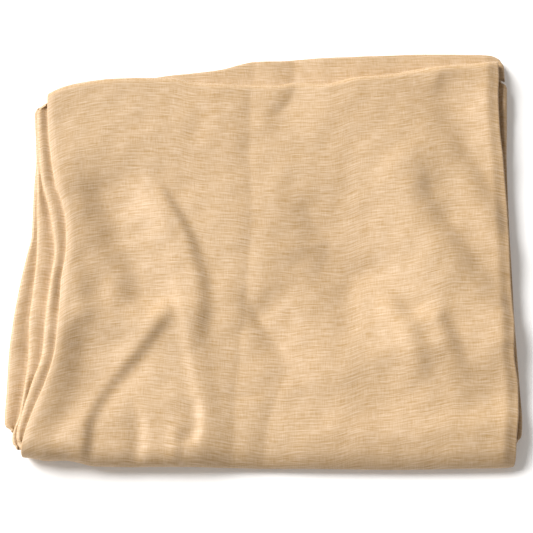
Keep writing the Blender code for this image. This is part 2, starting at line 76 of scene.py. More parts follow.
# Side rims of the plies at sections from front to back, as x. The under column is the lowest ply's.
Rims = namedtuple("Rims", "y panel_left upper_left middle_left lower_left under_left panel_right fold_right")
RIMS = (
    Rims(-113, -116.6, -119.0, -121.4, -125.5, -116.4, 121.8, 125.4),
    Rims(-110, -118.2, -120.3, -122.5, -126.3, -117.4, 123.2, 125.9),
    Rims(-98, -116.1, -120.4, -122.9, -127.0, -118.6, 124.0, 126.8),
    Rims(-86, -112.3, -118.0, -119.9, -127.5, -123.4, 125.4, 127.5),
    Rims(-72, -107.0, -114.0, -118.1, -127.1, -124.4, 126.0, 127.1),
    Rims(-56, -103.1, -109.5, -116.8, -126.9, -124.2, 124.4, 126.4),
    Rims(-38, -101.8, -108.6, -117.0, -125.7, -123.0, 125.0, 125.8),
    Rims(-18, -101.1, -107.0, -115.6, -123.1, -120.4, 124.6, 125.7),
    Rims(0, -99.2, -105.4, -114.7, -120.0, -117.4, 124.4, 125.4),
    Rims(12, -99.6, -107.1, -114.9, -117.9, -115.2, 124.4, 125.3),
    Rims(24, -102.1, -109.5, -115.6, -117.9, -115.0, 124.3, 125.3),
    Rims(36, -106.2, -112.9, -115.9, -117.8, -115.0, 123.9, 125.3),
    Rims(52, -109.1, -115.4, -116.9, -117.2, -114.8, 123.2, 125.4),
    Rims(70, -111.2, -116.9, -118.2, -116.8, -114.4, 122.0, 126.2),
    Rims(86, -111.9, -117.4, -119.4, -117.0, -114.2, 121.9, 126.8),
    Rims(98, -111.0, -116.0, -118.0, -116.0, -113.0, 122.6, 127.3),
)

# Front edge of the pack, back rim of the top ply and back rim of the band, from left to right, as y.
Ends = namedtuple("Ends", "x front panel_back band_back")
ENDS = (
    Ends(-118, -108.1, 85.5, 84.0),
    Ends(-112, -108.7, 88.5, 87.0),
    Ends(-104, -110.0, 92.5, 91.0),
    Ends(-96, -109.8, 94.7, 93.2),
    Ends(-80, -112.5, 97.1, 96.4),
    Ends(-62, -112.7, 97.8, 99.0),
    Ends(-48, -112.6, 97.6, 101.3),
    Ends(-36, -112.6, 95.3, 102.7),
    Ends(-22, -112.7, 94.3, 104.8),
    Ends(-11, -112.7, 93.7, 108.0),
    Ends(-4, -112.8, 94.1, 109.4),
    Ends(8, -112.9, 93.8, 109.7),
    Ends(17, -113.0, 95.5, 110.4),
    Ends(32, -113.2, 94.5, 111.6),
    Ends(48, -113.4, 98.2, 112.3),
    Ends(65, -113.6, 99.8, 113.0),
    Ends(82, -113.4, 103.2, 113.6),
    Ends(98, -113.1, 105.4, 113.6),
    Ends(112, -112.9, 106.4, 113.4),
    Ends(119, -112.6, 107.4, 113.0),
    Ends(124, -111.6, 107.8, 110.6),
    Ends(127, -110.6, 107.8, 105.0),
)

# Folds of the top ply. Height is a crest's, or a valley's if negative, and west and east are how far the
# slope reaches on either side, all evenly spaced along the line if there are several. The forms are how it
# bends: 1 a sharp crease, 2 soft, 3 a steep flank under a flat crest. Start and end are the shares of
# the line over which it fades in and out. The line runs from back to front, and west is the south
# side of one that runs from left to right. A far reach on one side makes a step.
Fold = namedtuple("Fold", "name height west east west_form east_form start end line")
FOLDS = (
    Fold("thick left side", (1.4, 1.8, 2.0, 2.1, 2.0, 2.0, 3.0, 3.6, 3.4, 2.8, 2.2), (20,),
         (20, 18, 18, 17, 15, 13, 14, 15, 18), 2, 2, 0.25, 0.0,
         ((-106, 70), (-103, 52), (-101, 36), (-98, 15), (-98, -5), (-100, -25), (-102, -42),
          (-103, -60), (-108, -80), (-112, -98), (-115, -118))),
    Fold("long swell", (0.3,), (14,), (14,), 2, 2, 0.35, 0.3,
         ((-85, 55), (-71, 42), (-56, 25), (-46, 8), (-40, -11), (-37, -31), (-37, -48))),
    Fold("long ridge", (2.8,), (40, 38, 30), (5, 6, 7.5, 8.5, 9), 2, 3, 0.2, 0.3,
         ((-62, 42), (-53, 27), (-45, 12), (-41, 2), (-38, -11), (-36, -23), (-36, -35), (-37, -48),
          (-37, -58))),
    Fold("crest of the long ridge", (0.5,), (5,), (4,), 2, 2, 0.45, 0.4,
         ((-72, 47), (-62, 33), (-53, 21), (-47, 8), (-43, -4))),
    Fold("broad valley", (-1.7, -2.7, -4.2, -4.9, -4.7, -4.2, -3.2), (8, 10, 12, 13, 12, 11, 9),
         (16, 20, 24, 29, 33, 34, 30), 2, 2, 0.25, 0.15,
         ((-94, 57), (-87, 41), (-79, 26), (-72, 11), (-67, 0), (-62, -13), (-59, -25), (-57, -40))),
    Fold("its branch", (-0.9,), (7,), (9,), 2, 2, 0.4, 0.4,
         ((-90, 2), (-87, -12), (-84, -26), (-82, -42))),
    Fold("ripple", (0.3,), (5,), (6,), 2, 2, 0.3, 0.3,
         ((-78, -15), (-74, -29), (-73, -44))),
    Fold("swell at the rim", (1.0,), (8,), (9,), 2, 2, 0.3, 0.3,
         ((-93, -6), (-92, -18), (-90, -30), (-88, -42))),
    Fold("slanting ridge", (2.4,), (34, 34, 30, 18, 12), (6, 6.5, 6.5, 5.5, 5), 2, 3, 0.14, 0.0,
         ((-46, -28), (-55, -39), (-65, -52), (-74, -63), (-82, -74), (-87, -84), (-90, -94),
          (-90, -102), (-90, -111), (-90, -121))),
    Fold("left pocket", (-3.4, -4.0, -4.0, -3.0, -1.6, -0.8), (9, 14, 15, 14, 9, 6),
         (26, 30, 24, 13, 7, 5), 2, 2, 0.26, 0.0,
         ((-91, -36), (-89, -47), (-87, -60), (-89, -70), (-93, -80), (-98, -90), (-102, -100),
          (-106, -114))),
    Fold("lower ridge", (1.0,), (4.5,), (7,), 2, 2, 0.2, 0.1,
         ((-44, -13), (-39, -31), (-36, -48), (-34, -60), (-31, -76), (-28, -90), (-30, -100),
          (-36, -109), (-38, -121))),
    Fold("front valley", (-1.2,), (5,), (4,), 2, 2, 0.4, 0.0,
         ((-65, -78), (-62, -90), (-61, -99), (-62, -111), (-62, -121))),
    Fold("front ridge", (0.9,), (4,), (4,), 2, 2, 0.4, 0.0,
         ((-45, -92), (-43, -99), (-42, -111), (-41, -121))),
    Fold("foot of the lower ridge", (-0.8,), (5,), (3,), 2, 2, 0.3, 0.3,
         ((-34, -78), (-33, -92), (-36, -103))),
    Fold("soft dip at the back", (-0.3,), (6,), (6,), 2, 2, 0.4, 0.4,
         ((-32, 82), (-33, 68), (-36, 55))),
    Fold("centre crease", (-1.1,), (7,), (16,), 1.2, 1, 0.0, 0.0,
         ((-4, 100), (-7, 82), (-7, 71), (-7, 54), (-6, 33), (-6, 8), (-7, -3), (-8, -16), (-9, -28),
          (-9, -39), (-11, -46), (-12, -64), (-14, -81), (-14, -102), (-15, -120))),
    Fold("small crease across it", (-0.3,), (2,), (2,), 2, 2, 0.4, 0.4,
         ((-15, -79), (-7, -78), (1, -79))),
    Fold("wedge", (-3.6,), (4, 7, 9, 9), (30,), 1.6, 2, 0.3, 0.5,
         ((-9, -18), (-4, -32), (2, -42), (8, -52), (14, -62), (19, -76))),
    Fold("second crease", (-1.7,), (8,), (40,), 1.3, 2, 0.45, 0.0,
         ((20, -48), (15, -62), (9, -74), (5, -84), (2, -98), (1, -113), (0, -123))),
    Fold("dip below the wedge", (-0.9,), (30,), (8,), 2, 2, 0.5, 0.5,
         ((10, -79), (22, -80), (34, -82), (46, -84))),
    Fold("triangle", (-2.8,), (9, 10, 12, 12), (38,), 1.6, 2, 0.35, 0.35,
         ((12, 47), (20, 30), (28, 13), (34, 4), (32, -6), (26, -19), (19, -33))),
    Fold("dip in the middle", (-3.6,), (70,), (13,), 2, 2, 0.5, 0.6,
         ((18, -13), (34, -13), (50, -14), (66, -14), (80, -12), (94, -8))),
    Fold("long dip", (-2.6,), (9,), (20,), 2, 2, 0.25, 0.0,
         ((78, 58), (84, 44), (89, 30), (95, 19), (102, 8), (108, -1), (119, -17), (131, -34))),
    Fold("swell west of it", (2.0,), (16,), (12,), 2, 2, 0.3, 0.3,
         ((72, 63), (76, 40), (81, 19), (93, 1), (105, -19))),
    Fold("outer dip", (-3.2,), (18, 13, 9, 8, 8), (18, 16, 14), 2, 2, 0.2, 0.0,
         ((92, 100), (97, 88), (102, 72), (107, 58), (114, 44), (121, 28), (127, 14))),
    Fold("dip beside the crescent", (-0.4,), (9,), (7,), 2, 2, 0.4, 0.4,
         ((42, -16), (42, -30), (44, -50))),
    Fold("crescent", (0.3,), (6,), (7,), 2, 2, 0.4, 0.4,
         ((50, -13), (50, -30), (53, -46), (57, -63))),
    Fold("first right ridge", (1.6, 2.8, 4.0, 4.0), (60, 56), (10, 10.5, 10.5, 9.5), 2, 3, 0.4, 0.45,
         ((42, -14), (50, -22), (58, -32), (65, -44), (70, -56), (71, -66), (71, -78))),
    Fold("second right ridge", (3.2,), (16,), (8.5,), 2, 3, 0.3, 0.45,
         ((80, -28), (82.5, -39), (86, -48), (89.5, -59), (91.5, -73))),
    Fold("right bulge", (1.2,), (11,), (14,), 2, 2, 0.4, 0.3,
         ((120, -30), (121, -42), (120, -54))),
    Fold("right slope", (-3.0,), (12,), (14,), 2, 2.5, 0.6, 0.0,
         ((92, -73), (105, -74), (118, -75), (134, -76))),
    Fold("pucker", (-1.6,), (5,), (13,), 1.5, 2, 0.0, 0.5,
         ((18, 96), (15, 84), (8, 76), (0, 70))),
    Fold("ridge beside the pucker", (0.3,), (8,), (25,), 2, 2, 0.0, 0.6,
         ((20, 95), (24, 75), (27, 52))),
    Fold("lip behind the roll", (0.8,), (8,), (8,), 2, 2, 0.3, 0.0,
         ((-12, -100), (24, -100), (65, -99), (106, -94), (122, -92))),
)

# The centre crease and the pucker go on over the band behind the top ply
BAND_FOLDS = (
    Fold("centre crease", (-0.3,), (4,), (2,), 1, 1, 0.0, 0.0,
         ((-5, 120), (-4, 100), (-4, 80))),
    Fold("pucker", (-0.25,), (3,), (3,), 1.5, 1.5, 0.0, 0.0,
         ((17, 118), (16, 100), (15, 80))),
)

LINE_SAMPLES = 90        # points on each fold's line
FOLD_RANGE = 3.2         # a fold has no effect further away than this many times its widest reach
FADE_SPREAD = 0.6        # how far along a fold its fading is evened out, as a share of the distance

# Unevenness that all the cloth has: wave length, height and the number of waves that are mixed
Ripple = namedtuple("Ripple", "length height count")
RIPPLES = (Ripple(46.0, 0.14, 7), Ripple(17.0, 0.03, 9), Ripple(8.0, 0.006, 9))
RIPPLE_SEED = 11

# The same on the rims that show: how high and how close its waves are beside the top ply's, and
# what its seed begins at
RIM_UNEVEN, RIM_CLOSER = 0.9, 1.8
BAND_UNEVEN, BAND_CLOSER = 0.5, 1.4
BAND_SEED, RIGHT_SEED, LEFT_SEED = 21, 31, 41

# Grids of the sheets: spacing of their points, and steps round a rim or an end
PLAN_TURNS = 8           # turns in which a point's place in plan settles
TOP_SPACING = 1.05
RIM_SPACING = 1.3
ROLL_ROWS = 30
TURN_ROWS = 10
UNDER_ROWS = 24
STRIP_COLUMNS = 15
STRIP_DEPTH = 200.0      # depth from which the number of rows of a side rim is worked out
BAND_COLUMNS = 24
CURL_STEPS = 6
CAP_STEPS = 5
RETURN_COLUMNS = 5       # columns of the top ply's lower face that go on inside from its rims

# Folded rims that show at the sides: share of the height where each begins and ends, and the share
# of the depth that it runs.
Strip = namedtuple("Strip", "node rim above low high start end")
LEFT_STRIPS = (
    Strip("left_fold_upper", "upper_left", "panel_left", 0.69, 1.0, -0.018, 1.0),
    Strip("left_fold_middle", "middle_left", "upper_left", 0.355, 0.655, -0.018, 1.0),
    Strip("left_fold_lower", "lower_left", "middle_left", 0.0, 0.32, 0.037, 1.0),
)
RIGHT_STRIP = Strip("right_fold", "fold_right", "panel_right", 0.35, 0.71, 0.018, 0.971)
STRIP_END = 1.6          # how far a rim's rounded end reaches
STRIP_SINK = 1.3         # how far a rim sinks where it goes under the ply above
STRIP_SINK_SHARE = 0.7   # share of what shows over which it rises again
STRIP_SINK_RUN = 3.0     # how far under the ply above it goes on sinking
STRIP_CORNER = 4.0       # radius of its corners, seen from above
STRIP_BULGE = 0.45       # how far it is rounded, as a share of its thickness

# The band at the back, from left to right
BAND_LEFT, BAND_RIGHT = -110.0, 125.6
BAND_HIGH = 0.475        # share of the pack's inner height that it takes up
BAND_FALL = 0.5          # how much lower it lies at its rim
BAND_BULGE = 0.4         # how far its rim is rounded, as a share of its thickness
BAND_END = 1.4           # how far its rounded ends reach

# Layered rims of the hidden plies
HIDDEN_PLIES = 6
HIDDEN_ROWS, HIDDEN_COLUMNS = 90, 60
HIDDEN_INSET_RIGHT = 2.6
HIDDEN_FRONT, HIDDEN_BACK, HIDDEN_RIGHT = 4.6, 2.0, 0.8    # how far they reach at each side
GROOVE = 0.7             # depth of the groove between two of them
GROOVE_FORM = 0.6        # below 1 for grooves narrower than the rims between them
GROOVE_STEPS = 6
POCKET_MARGIN = 0.03     # share of the height kept free above and below the right rim
HIDDEN_START = 10        # column at which their map begins

# Colour of the cloth, how much lighter or darker single threads are, the colour that it drifts
# towards and how far
CLOTH_COLOUR = (0.515, 0.355, 0.2)
THREAD_CONTRAST = 0.1
DRIFT_COLOUR, DRIFT_SHARE = (1.0, 0.96, 0.94, 1.0), 0.5

# Streaks of noise that the weave is mixed from: how long and wide they are, in millimetres, how
# detailed, and a shift that makes each its own
Streaks = namedtuple("Streaks", "length width detail shift")
BOW = Streaks(90.0, 70.0, 1.0, 3.0)        # how the weft rows bend
SWAY = Streaks(16.0, 2.6, 1.0, 7.0)        # how their pitch varies
SHOWN = Streaks(6.0, 1.4, 1.0, 19.0)       # where they show
SLUBS = Streaks(7.0, 0.42, 1.0, 0.0)       # uneven weft threads
THICK = Streaks(13.0, 0.5, 0.0, 29.0)      # single thick ones
WARP = Streaks(0.42, 6.0, 1.0, 23.0)
BROAD = Streaks(45.0, 3.0, 2.0, 11.0)      # bands of several threads
DRIFT = Streaks(60.0, 45.0, 2.0, 37.0)     # drift of the colour
NOISE_ROUGHNESS = 0.55
WEFT_ROWS = 0.0019                         # pitch of the weft rows, in metres
BOW_BEND, SWAY_TURN = 0.005, 5.0
SHOWN_GAIN, SHOWN_FROM = 3.0, -1.0
THICK_GAIN, THICK_FROM = 4.0, -2.55
ROWS_TONE, BROAD_TONE, SLUBS_TONE, WARP_TONE, THICK_TONE = 0.2, 0.4, 1.7, 0.9, 0.6
TONE_FROM = -1.0                           # brings the mix of them back to the middle of the ramp
SLUBS_RELIEF, WARP_RELIEF = 1.5, 1.0
BUMP_STRENGTH, BUMP_HEIGHT = 0.3, 0.00012
ROUGHNESS, IOR, SPECULAR_LEVEL = 0.6, 1.55, 0.5
SHEEN, SHEEN_ROUGHNESS, SHEEN_COLOUR = 0.06, 0.45, (1.0, 0.93, 0.84, 1.0)

# Camera, in millimetres: what it looks at, how far away and how high above the table
LOOK_AT = (1.6, -7.3, 6.0)
DISTANCE, ELEVATION = 1150.0, 68.0
LENS, SENSOR = 153.8, 36.0

# Light: where the key comes from, its strength and softness, and the even light from all round
KEY_FROM = (-0.62, 0.34, 0.53)
KEY_STRENGTH, KEY_SOFTNESS = 5.8, 38.0
KEY_COLOUR, FILL_COLOUR = (1.0, 0.995, 0.985), (1.0, 0.93, 0.86, 1.0)
FILL_STRENGTH = 0.31

# The table, in metres: half its width, and its top, just below the cloth
FLOOR_HALF, FLOOR_TOP = 3.0, -0.0002
FLOOR_COLOUR, FLOOR_ROUGHNESS = (0.9, 0.9, 0.9), 0.7
FLOOR_GLOW = 0.12        # a white table that is lit from below as well


def slopes(knots, values):
    """Slopes of a monotone cubic through the values, so a table's extremes stay the curve's."""
    steps = np.diff(knots)
    secants = np.diff(values) / steps
    inner = np.zeros(len(values))
    same_sign = secants[:-1] * secants[1:] > 0
    weight_a, weight_b = steps[:-1] + 2 * steps[1:], 2 * steps[:-1] + steps[1:]
    with np.errstate(divide="ignore", invalid="ignore"):
        mean = (weight_a + weight_b) / (weight_b / secants[:-1] + weight_a / secants[1:])
    inner[1:-1] = np.where(same_sign, mean, 0.0)
    return inner


def smooth_curve(knots, values):
    """A function that runs smoothly through a table's column and stays level past its ends."""
    knots, values = np.asarray(knots, float), np.asarray(values, float)
    tangents = slopes(knots, values)

    def at(place):
        place = np.clip(np.asarray(place, float), knots[0], knots[-1])
        i = np.clip(np.searchsorted(knots, place) - 1, 0, len(knots) - 2)
        width = knots[i + 1] - knots[i]
        t = (place - knots[i]) / width
        return (
            values[i] * (1 + 2 * t) * (1 - t) ** 2
            + values[i + 1] * t * t * (3 - 2 * t)
            + tangents[i] * width * t * (1 - t) ** 2
            - tangents[i + 1] * width * t * t * (1 - t)
        )

    return at


def curves(table):
    """A smooth curve through each column of a table but the first, by its name."""
    knots = [row[0] for row in table]
    return {name: smooth_curve(knots, [getattr(row, name) for row in table]) for name in table[0]._fields[1:]}


RIM = curves(RIMS)
END = curves(ENDS)


def ease(share):
    """A step from 0 to 1 with level ends."""
    share = np.clip(share, 0.0, 1.0)
    return share * share * (3 - 2 * share)


def fold_line(line):
    """A fold's line as x and y of points on a smooth curve through its own points."""
    numbers = np.arange(len(line))
    places = np.linspace(0, len(line) - 1, LINE_SAMPLES)
    return tuple(smooth_curve(numbers, column)(places) for column in zip(*line))


def spread(values, share):
    """Values that are evenly spaced along a line, at a share of its length."""
    return np.interp(share, np.linspace(0, 1, len(values)), values)


def relief(x, y, folds):
    """Height that folds add to a sheet."""
    flat_x, flat_y = np.ravel(x), np.ravel(y)
    added = np.zeros(flat_x.size)
    for fold in folds:
        line_x, line_y = fold_line(fold.line)
        reach = FOLD_RANGE * max(fold.west + fold.east)
        near = (flat_x > line_x.min() - reach) & (flat_x < line_x.max() + reach)
        near &= (flat_y > line_y.min() - reach) & (flat_y < line_y.max() + reach)
        off_x = flat_x[near, None] - line_x
        off_y = flat_y[near, None] - line_y
        apart = off_x**2 + off_y**2
        nearest = apart.argmin(axis=1)
        rows = np.arange(len(nearest))
        side_x, side_y = off_x[rows, nearest], off_y[rows, nearest]
        run_x, run_y = np.gradient(line_x)[nearest], np.gradient(line_y)[nearest]
        length = np.hypot(run_x, run_y)
        across = (run_x * side_y - run_y * side_x) / length
        along = (run_x * side_x + run_y * side_y) / length
        distance = np.hypot(across, along)
        # The share of the line is an even one over what lies about as near
        closest = apart[rows, nearest][:, None]
        weights = np.exp((closest - apart) / (2 * (FADE_SPREAD**2 * closest + 1.0)))
        share = weights @ np.linspace(0, 1, len(line_x)) / weights.sum(axis=1)
        columns = (fold.height, fold.west, fold.east)
        height, west_reach, east_reach = (spread(values, share) for values in columns)
        # From one side's slope to the other's without a step beyond the line's ends
        east = 0.5 + 0.5 * across / np.maximum(distance, 1e-6)
        west_slope = np.exp(-((distance / west_reach) ** fold.west_form))
        east_slope = np.exp(-((distance / east_reach) ** fold.east_form))
        fade = np.ones(len(share))
        if fold.start:
            fade *= ease(share / fold.start)
        if fold.end:
            fade *= ease((1 - share) / fold.end)
        added[near] += height * fade * (west_slope + east * (east_slope - west_slope))
    return added.reshape(np.shape(x))


def unevenness(x, y, seed):
    """Soft waves in no order, as in any cloth that has been folded by hand."""
    chance = np.random.default_rng(RIPPLE_SEED + seed)
    total = np.zeros(np.shape(x))
    for ripple in RIPPLES:
        for _ in range(ripple.count):
            angle, phase, stretch = chance.uniform(0, [2 * math.pi, 2 * math.pi, 1])
            wave = 2 * math.pi / (ripple.length * (0.75 + 0.6 * stretch))
            total += ripple.height * np.sin(wave * (x * math.cos(angle) + y * math.sin(angle)) + phase)
    return total


def station(depth, x):
    """The y at a share of the depth of the flat top, which begins behind the front roll."""
    start = END["front"](x) + ROLL_DEPTH
    end = END["panel_back"](x) - TURN_DEPTH
    return start + depth * (end - start)


def plan_point(depth, x_at):
    """The plan position at a share of the depth on a line that runs from front to back. Its x hangs on
    y and y on x, so they are worked out in turns."""
    y = np.zeros(np.shape(depth))
    for _ in range(PLAN_TURNS):
        x = x_at(y)
        y = station(depth, x)
    return x, y


def flat_y(x, y):
    """The nearest y on the flat of the top ply."""
    return np.clip(y, END["front"](x) + ROLL_DEPTH, END["panel_back"](x) - TURN_DEPTH)


def plain_height(x, y):
    """Height of the upper face of the top ply without its folds."""
    y = flat_y(x, y)
    right = ease((x - RIM["panel_right"](y)) / RIGHT_SINK_RUN + 1) * RIGHT_SINK
    left = ease((RIM["panel_left"](y) - x) / LEFT_SINK_RUN + 1) * LEFT_SINK
    return PACK_HEIGHT - right - left


def droop(x, from_edge):
    """How far the top ply hangs down at a distance behind its front edge."""
    most = DROOP * ease((x - DROOP_FROM) / (DROOP_FULL - DROOP_FROM))
    return most * np.clip(1 - from_edge / (ROLL_DEPTH + DROOP_RUN), 0, 1) ** 2


def top_height(x, y):
    """Height of the upper face of the top ply."""
    y = flat_y(x, y)
    return plain_height(x, y) + relief(x, y, FOLDS) + unevenness(x, y, 0) - droop(x, y - END["front"](x))


def hidden_space(x, y):
    """Lowest and highest z that the inner faces of the outer ply leave for the plies between."""
    left, right = RIM["panel_left"](y), RIM["panel_right"](y)
    roof = top_height(np.clip(x, left, right), y) - PLY - GAP
    floor = PLY + GAP
    middle, half = (roof + floor) / 2, (roof - floor) / 2
    into_roll = (END["front"](x) + ROLL_DEPTH - y) / (ROLL_DEPTH - PLY - GAP)
    shrink = np.sqrt(1 - np.clip(into_roll, 0, 0.9) ** 2)
    reach_past = np.maximum(left - x, 0) + np.maximum(x - right, 0)
    low = middle - half * shrink
    return low, low + 2 * half * shrink * (1 - SAG_PER_MM * reach_past)


def layer_height(x, y, share):
    """The z at a share of the space between the inner faces of the outer ply."""
    low, high = hidden_space(x, y)
    return low + share * (high - low)


def points(x, y, z):
    """Three arrays of coordinates as one array of points."""
    return np.stack(np.broadcast_arrays(x, y, z), axis=-1).astype(float)


def grid_of(depths, columns):
    """Plan positions as two arrays, a row for each share of the depth and a column for each line."""
    x = np.zeros((len(depths), len(columns)))
    y = np.zeros_like(x)
    for i, column in enumerate(columns):
        x[:, i], y[:, i] = plan_point(np.asarray(depths, float), column)
    return x, y


def capped(upper, lower, start, end):
    """Both faces with rows added that close the ply round its start and end, as far out as asked.
    Also gives each row's share of the full thickness."""
    thick = np.ones(len(upper))
    for at, reach in ((0, start), (-1, end)):
        if not reach:
            continue
        inside = 1 if at == 0 else -2
        middle, half = (upper[at] + lower[at]) / 2, (upper[at] - lower[at]) / 2
        run = middle - (upper[inside] + lower[inside]) / 2
        run = run.mean(axis=0)
        run /= np.linalg.norm(run)
        angles = np.linspace(0, math.pi / 2, CAP_STEPS + 1)[1:]
        rows = [(middle + half * math.cos(a) + run * reach * math.sin(a),
                 middle - half * math.cos(a) + run * reach * math.sin(a), math.cos(a)) for a in angles]
        if at == 0:
            rows = rows[::-1]
        pairs = [(old, np.array(new)) for old, new in zip((upper, lower, thick), zip(*rows))]
        upper, lower, thick = (np.concatenate(pair[::-1] if at == 0 else pair) for pair in pairs)
    return upper, lower, thick


def curl(upper, lower, bulge, side):
    """Columns round a rim, from the upper face to the lower one. Side is 1 at the right."""
    middle, half = (upper + lower) / 2, (upper - lower) / 2
    columns = []
    for step in range(1, CURL_STEPS):
        angle = math.pi * step / CURL_STEPS
        out = np.zeros_like(middle)
        out[:, 0] = side * bulge * math.sin(angle)
        columns.append(middle + half * math.cos(angle) + out)
    return np.stack(columns, axis=1)


def ply_section(upper, lower, bulge_left, bulge_right, thick, returns=None):
    """The grid of a ply: its lower face on the left, round that rim, over the top, round the other
    rim and its lower face on the right. Without returns the lower face is whole and the last column
    meets the first."""
    parts = []
    if bulge_left:
        if returns:
            parts.append(lower[:, returns:0:-1])
        parts.append(lower[:, :1])
        parts.append(curl(upper[:, 0], lower[:, 0], bulge_left * thick, -1)[:, ::-1])
    parts.append(upper)
    if bulge_right:
        parts.append(curl(upper[:, -1], lower[:, -1], bulge_right * thick, 1))
    if returns:
        parts.append(lower[:, -1:-returns - 2:-1])
    else:
        parts.append(lower[:, ::-1] if not bulge_left else lower[:, :0:-1])
    return np.concatenate(parts, axis=1)


def sheet(name, grid, middle_column, closed, material, turned=False):
    """A piece of cloth on a grid of points, with a map of how far each lies from the middle of the
    cloth and along it, in metres. A turned one's rows run from left to right."""
    rows, columns = grid.shape[:2]
    across = np.cumsum(np.linalg.norm(np.diff(grid, axis=1, prepend=grid[:, :1]), axis=-1), axis=1)
    across -= across[:, middle_column][:, None] - grid[:, middle_column, 1 if turned else 0][:, None]
    along = np.cumsum(np.linalg.norm(np.diff(grid, axis=0, prepend=grid[:1]), axis=-1), axis=0)
    numbers = np.arange(rows * columns).reshape(rows, columns)
    if closed:
        numbers = np.concatenate([numbers, numbers[:, :1]], axis=1)
        last = np.linalg.norm(grid[:, 0] - grid[:, -1], axis=-1)
        across = np.concatenate([across, across[:, -1:] + last[:, None]], axis=1)
        along = np.concatenate([along, along[:, :1]], axis=1)
    corners = [(slice(0, -1), slice(0, -1)), (slice(1, None), slice(0, -1)),
               (slice(1, None), slice(1, None)), (slice(0, -1), slice(1, None))]
    if grid[rows // 2 + 1, middle_column, 1] > grid[rows // 2, middle_column, 1]:
        corners = corners[::-1]
    faces = np.stack([numbers[c] for c in corners], axis=-1).reshape(-1, 4)
    if turned:
        across, along = along, across
    cloth_map = np.stack([np.stack([across[c], along[c]], -1) for c in corners], axis=2).reshape(-1, 2)
    mesh = bpy.data.meshes.new(name)
    mesh.from_pydata((grid.reshape(-1, 3) * MM).tolist(), [], faces.tolist())
    layer = mesh.uv_layers.new(name="cloth")
    layer.data.foreach_set("uv", (cloth_map * MM).ravel())
    mesh.shade_smooth()
    mesh.materials.append(material)
    piece = bpy.data.objects.new(name, mesh)
    bpy.context.scene.collection.objects.link(piece)
    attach(piece, "root")
    return piece


def panel_lines(inset_left, inset_right, count):
    """Lines from front to back between the side rims of the top ply, each a function of y."""
    def line(share):
        return lambda y: ((1 - share) * (RIM["panel_left"](y) + inset_left)
                          + share * (RIM["panel_right"](y) - inset_right))

    return [line(share) for share in np.linspace(0, 1, count)]


def panel_columns():
    """Lines over the top ply, from left to right."""
    width = RIMS[8].panel_right - RIMS[8].panel_left
    return panel_lines(RIM_BULGE, RIM_BULGE, round(width / TOP_SPACING))


def outer_ply(material):
    """The ply that shows: down at the back rim, over the top, round the front and underneath."""
    columns = panel_columns()
    depth = ENDS[10].panel_back - ENDS[10].front
    x, y = grid_of(np.linspace(1.0, 0.0, round(depth / TOP_SPACING)), columns)
    z = top_height(x, y)
    upper, lower = [], []
    rim_y = y[0] + TURN_DEPTH
    for step in range(TURN_ROWS):
        angle = math.pi / 2 * step / TURN_ROWS
        for rows, thickness in ((upper, 0.0), (lower, PLY)):
            rows.append(points(x[0], rim_y - TURN_DEPTH + (TURN_DEPTH - thickness) * math.cos(angle),
                               TURN_BOTTOM + (z[0] - thickness - TURN_BOTTOM) * math.sin(angle)))
    upper += list(points(x, y, z))
    lower += list(points(x, y, z - PLY))
    front = y[-1] - ROLL_DEPTH
    full = z[-1] + droop(x[-1], ROLL_DEPTH)
    shares = (x[-1] - x[-1][0]) / (x[-1][-1] - x[-1][0])
    for step in range(1, ROLL_ROWS + 1):
        angle = math.pi * step / ROLL_ROWS
        under = ease(step / ROLL_ROWS)
        edge_y = front + ROLL_DEPTH - ROLL_DEPTH * math.sin(angle)
        left = (1 - under) * RIM["panel_left"](edge_y[0]) + under * RIM["under_left"](edge_y[0])
        right = ((1 - under) * RIM["panel_right"](edge_y[-1])
                 + under * (RIM["fold_right"](edge_y[-1]) - UNDER_INSET))
        across = left + RIM_BULGE + shares * (right - left - 2 * RIM_BULGE)
        hang = (1 + math.cos(angle)) / 2
        for rows, thickness in ((upper, 0.0), (lower, PLY)):
            behind = ROLL_DEPTH - (ROLL_DEPTH - thickness) * math.sin(angle)
            rows.append(points(across, front + behind,
                               (1 - hang) * thickness + hang * (full - thickness - droop(x[-1], behind))))
    back = np.maximum(END["band_back"](x[-1]), END["panel_back"](x[-1])) - UNDER_INSET
    for step in range(1, UNDER_ROWS + 1):
        under_y = y[-1] + (back - y[-1]) * step / UNDER_ROWS
        left = RIM["under_left"](under_y) + RIM_BULGE
        right = RIM["fold_right"](under_y) - UNDER_INSET - RIM_BULGE
        across = left + shares * (right - left)
        upper.append(points(across, under_y, 0.0))
        lower.append(points(across, under_y, PLY))
    upper, lower, thick = capped(np.array(upper), np.array(lower), TURN_CAP, RIM_BULGE)
    grid = ply_section(upper, lower, RIM_BULGE, RIM_BULGE, thick, RETURN_COLUMNS)
    return sheet("outer_ply_cloth", grid, RETURN_COLUMNS + CURL_STEPS + len(columns) // 2, False, material)


